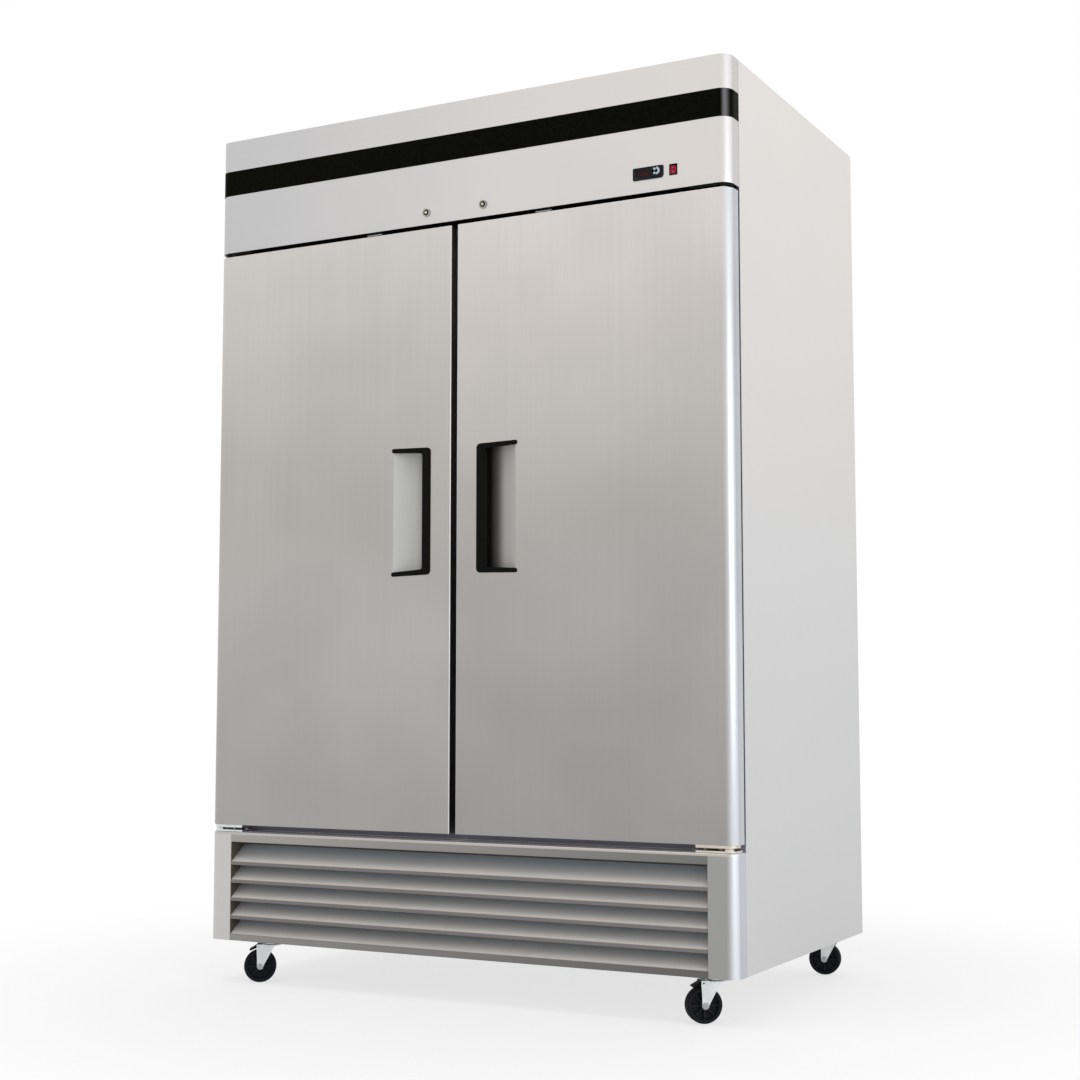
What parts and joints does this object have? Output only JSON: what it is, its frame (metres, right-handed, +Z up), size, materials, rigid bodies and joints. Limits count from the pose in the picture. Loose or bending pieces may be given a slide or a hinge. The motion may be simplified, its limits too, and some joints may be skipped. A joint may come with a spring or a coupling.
{
  "type": "two-door freezer",
  "caption": "Upright freezer with hinged doors side by side, recessed bar handles, a control header, a louvred machine compartment below and swivel casters.",
  "frame": {"origin": "centre of the footprint, on the floor that the wheels stand on", "axes": "+X to the right seen from the front, +Y to the back, +Z up"},
  "size_m": [1.382, 0.854, 2.09],
  "materials": {
    "brushed_steel": "fine vertical grain",
    "side_sheet": "smooth satin light grey",
    "galvanised_sheet": "dull spangled zinc",
    "foam": "rigid polyurethane foam",
    "liner_metal": "stucco embossed",
    "breaker_plastic": "matte dark grey",
    "black_band": "black, satin gloss",
    "chrome": "bright nickel",
    "lock_brass": "nickel-worn brass",
    "controller_plastic": "dark blue-black",
    "display_glass": "dark red filter",
    "key_plastic": "grey-blue",
    "red_plastic": "translucent red",
    "black_plastic": "fine texture",
    "gasket_rubber": "soft black vinyl",
    "zinc": "bright zinc plate",
    "shelf_coating": "epoxy coated wire",
    "fin_metal": "thin fins",
    "motor_paint": "black enamel",
    "compressor_paint": "black enamel",
    "fan_metal": "pressed sheet",
    "wheel_rubber": "moulded black"
  },
  "bodies": {
    "cabinet": {"side_panel_left": "side_sheet", "side_panel_right": "side_sheet", "top_panel": "side_sheet", "back_panel": "galvanised_sheet", "bottom_panel": "galvanised_sheet", "cabinet_foam": "foam", "cabinet_liner": "liner_metal", "breaker_frame": "breaker_plastic", "header_fascia": "brushed_steel", "header_band": "black_band", "lock_barrels": "chrome", "controller_bezel": "controller_plastic", "display_window": "display_glass", "switch_frame": "black_plastic", "door_switches": "zinc", "upper_hinges": "zinc", "lower_hinges": "zinc", "wire_shelves": "shelf_coating", "shelf_supports": "zinc", "evaporator_cover": "liner_metal", "evaporator_coil": "fin_metal", "fan_motors": "motor_paint", "grille_frame": "brushed_steel", "grille_louvres": "brushed_steel", "base_pan": "galvanised_sheet", "compressor": "compressor_paint", "condenser": "fin_metal", "power_inlet": "black_plastic", "caster_plates": "zinc"},
    "door_left": {"door_left_skin": "brushed_steel", "door_left_foam": "foam", "door_left_liner": "liner_metal", "door_left_gasket": "gasket_rubber", "door_left_handle": "black_plastic", "door_left_fittings": "zinc"},
    "lock_left": {"lock_plug_left": "lock_brass"},
    "evaporator_fan_left": {"evaporator_fan_left": "fan_metal"},
    "door_right": {"door_right_skin": "brushed_steel", "door_right_foam": "foam", "door_right_liner": "liner_metal", "door_right_gasket": "gasket_rubber", "door_right_handle": "black_plastic", "door_right_fittings": "zinc"},
    "lock_right": {"lock_plug_right": "lock_brass"},
    "evaporator_fan_right": {"evaporator_fan_right": "fan_metal"},
    "key_upper": {"key_upper": "key_plastic"},
    "key_lower": {"key_lower": "key_plastic"},
    "key_crescent": {"key_crescent": "key_plastic"},
    "power_rocker": {"power_rocker": "red_plastic"},
    "condenser_fan": {"condenser_fan": "fan_metal"},
    "swivel_front_left": {"caster_fork_front_left": "zinc"},
    "wheel_front_left": {"caster_wheel_front_left": "wheel_rubber"},
    "pedal_front_left": {"brake_pedal_front_left": "black_plastic"},
    "swivel_front_right": {"caster_fork_front_right": "zinc"},
    "wheel_front_right": {"caster_wheel_front_right": "wheel_rubber"},
    "pedal_front_right": {"brake_pedal_front_right": "black_plastic"},
    "swivel_rear_left": {"caster_fork_rear_left": "zinc"},
    "wheel_rear_left": {"caster_wheel_rear_left": "wheel_rubber"},
    "swivel_rear_right": {"caster_fork_rear_right": "zinc"},
    "wheel_rear_right": {"caster_wheel_rear_right": "wheel_rubber"}
  },
  "joints": [
    {"name": "door_left_hinge", "type": "hinge", "parent": "cabinet", "child": "door_left", "pos_m": [-0.669, -0.407, 1.086], "axis": [0, 0, -1], "range_deg": [0, 110]},
    {"name": "lock_left_turn", "type": "hinge", "parent": "cabinet", "child": "lock_left", "pos_m": [-0.077, -0.423, 1.832], "axis": [0, -1, 0], "range_deg": [0, 90]},
    {"name": "evaporator_fan_left_spin", "type": "hinge", "parent": "cabinet", "child": "evaporator_fan_left", "pos_m": [-0.3005, -0.066, 1.79823], "axis": [0, 0, 1], "continuous": true},
    {"name": "door_right_hinge", "type": "hinge", "parent": "cabinet", "child": "door_right", "pos_m": [0.669, -0.407, 1.086], "axis": [0, 0, 1], "range_deg": [0, 110]},
    {"name": "lock_right_turn", "type": "hinge", "parent": "cabinet", "child": "lock_right", "pos_m": [0.077, -0.423, 1.832], "axis": [0, 1, 0], "range_deg": [0, 90]},
    {"name": "evaporator_fan_right_spin", "type": "hinge", "parent": "cabinet", "child": "evaporator_fan_right", "pos_m": [0.3005, -0.066, 1.79823], "axis": [0, 0, 1], "continuous": true},
    {"name": "condenser_fan_spin", "type": "hinge", "parent": "cabinet", "child": "condenser_fan", "pos_m": [0.09, -0.22986, 0.2047], "axis": [0, 1, 0], "continuous": true},
    {"name": "key_upper_press", "type": "slide", "parent": "cabinet", "child": "key_upper", "axis": [0, 1, 0], "range_m": [0, 0.0008], "stiffness_N_per_m": 300},
    {"name": "key_lower_press", "type": "slide", "parent": "cabinet", "child": "key_lower", "axis": [0, 1, 0], "range_m": [0, 0.0008], "stiffness_N_per_m": 300},
    {"name": "key_crescent_press", "type": "slide", "parent": "cabinet", "child": "key_crescent", "axis": [0, 1, 0], "range_m": [0, 0.0008], "stiffness_N_per_m": 300},
    {"name": "power_rocker_tilt", "type": "hinge", "parent": "cabinet", "child": "power_rocker", "pos_m": [0.5584, -0.418, 1.8465], "axis": [-1, 0, 0], "range_deg": [0, 16]},
    {"name": "caster_front_left_swivel", "type": "hinge", "parent": "cabinet", "child": "swivel_front_left", "pos_m": [-0.548, -0.355, 0.0884], "axis": [0, 0, 1], "continuous": true},
    {"name": "caster_front_left_roll", "type": "hinge", "parent": "swivel_front_left", "child": "wheel_front_left", "pos_m": [-0.57094, -0.37106, 0.039], "axis": [0.5736, -0.8192, 0], "continuous": true},
    {"name": "brake_pedal_front_left_press", "type": "hinge", "parent": "swivel_front_left", "child": "pedal_front_left", "pos_m": [-0.57421, -0.37335, 0.0862], "axis": [0.5736, -0.8192, 0], "range_deg": [0, 12]},
    {"name": "caster_front_right_swivel", "type": "hinge", "parent": "cabinet", "child": "swivel_front_right", "pos_m": [0.615, -0.355, 0.0884], "axis": [0, 0, 1], "continuous": true},
    {"name": "caster_front_right_roll", "type": "hinge", "parent": "swivel_front_right", "child": "wheel_front_right", "pos_m": [0.59294, -0.37224, 0.039], "axis": [0.6157, -0.788, 0], "continuous": true},
    {"name": "brake_pedal_front_right_press", "type": "hinge", "parent": "swivel_front_right", "child": "pedal_front_right", "pos_m": [0.58978, -0.3747, 0.0862], "axis": [0.6157, -0.788, 0], "range_deg": [0, 12]},
    {"name": "caster_rear_left_swivel", "type": "hinge", "parent": "cabinet", "child": "swivel_rear_left", "pos_m": [-0.548, 0.388, 0.0884], "axis": [0, 0, 1], "continuous": true},
    {"name": "caster_rear_left_roll", "type": "hinge", "parent": "swivel_rear_left", "child": "wheel_rear_left", "pos_m": [-0.57338, 0.37617, 0.039], "axis": [0.4226, -0.9063, 0], "continuous": true},
    {"name": "caster_rear_right_swivel", "type": "hinge", "parent": "cabinet", "child": "swivel_rear_right", "pos_m": [0.635, 0.388, 0.0884], "axis": [0, 0, 1], "continuous": true},
    {"name": "caster_rear_right_roll", "type": "hinge", "parent": "swivel_rear_right", "child": "wheel_rear_right", "pos_m": [0.60742, 0.38314, 0.039], "axis": [0.1736, -0.9848, 0], "continuous": true}
  ]
}
